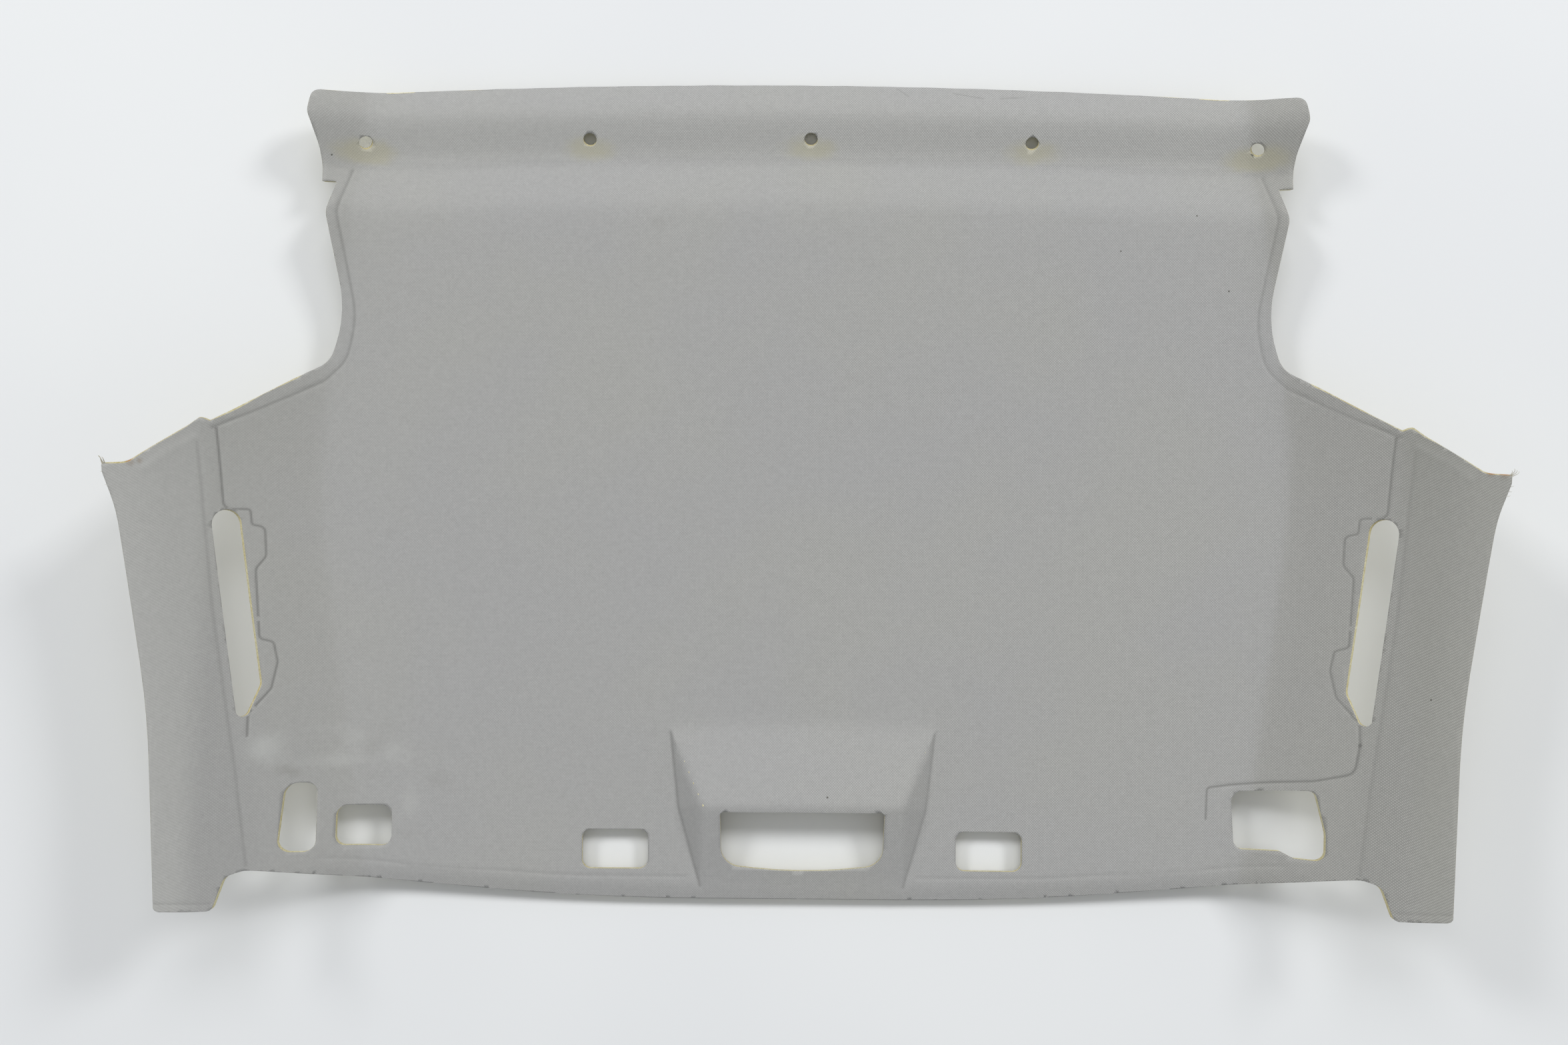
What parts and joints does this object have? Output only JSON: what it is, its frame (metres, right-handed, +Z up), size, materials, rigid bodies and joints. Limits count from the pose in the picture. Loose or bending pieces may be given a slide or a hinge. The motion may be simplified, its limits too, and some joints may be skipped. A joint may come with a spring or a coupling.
{
  "type": "car headliner panel",
  "caption": "Moulded roof lining panel of a small car: pressed foam board faced with pale cloth, with turned-up sides, a lamp console and openings for lamp, visors and grab handles.",
  "frame": {"origin": "centre of the panel's outside box in plan, at the floor it lies on", "axes": "+X across the car, +Y to the rear of the car, +Z up out of the cloth as the panel lies on its roof side"},
  "size_m": [1.1638, 0.7342, 0.1428],
  "materials": {
    "foam": "pale yellow moulded foam board, fibrous at the cut edges",
    "cloth": "light grey fine twill weave, bonded flat"
  },
  "bodies": {
    "root": {"foam_board": "foam", "fabric_facing": "cloth"}
  },
  "joints": []
}
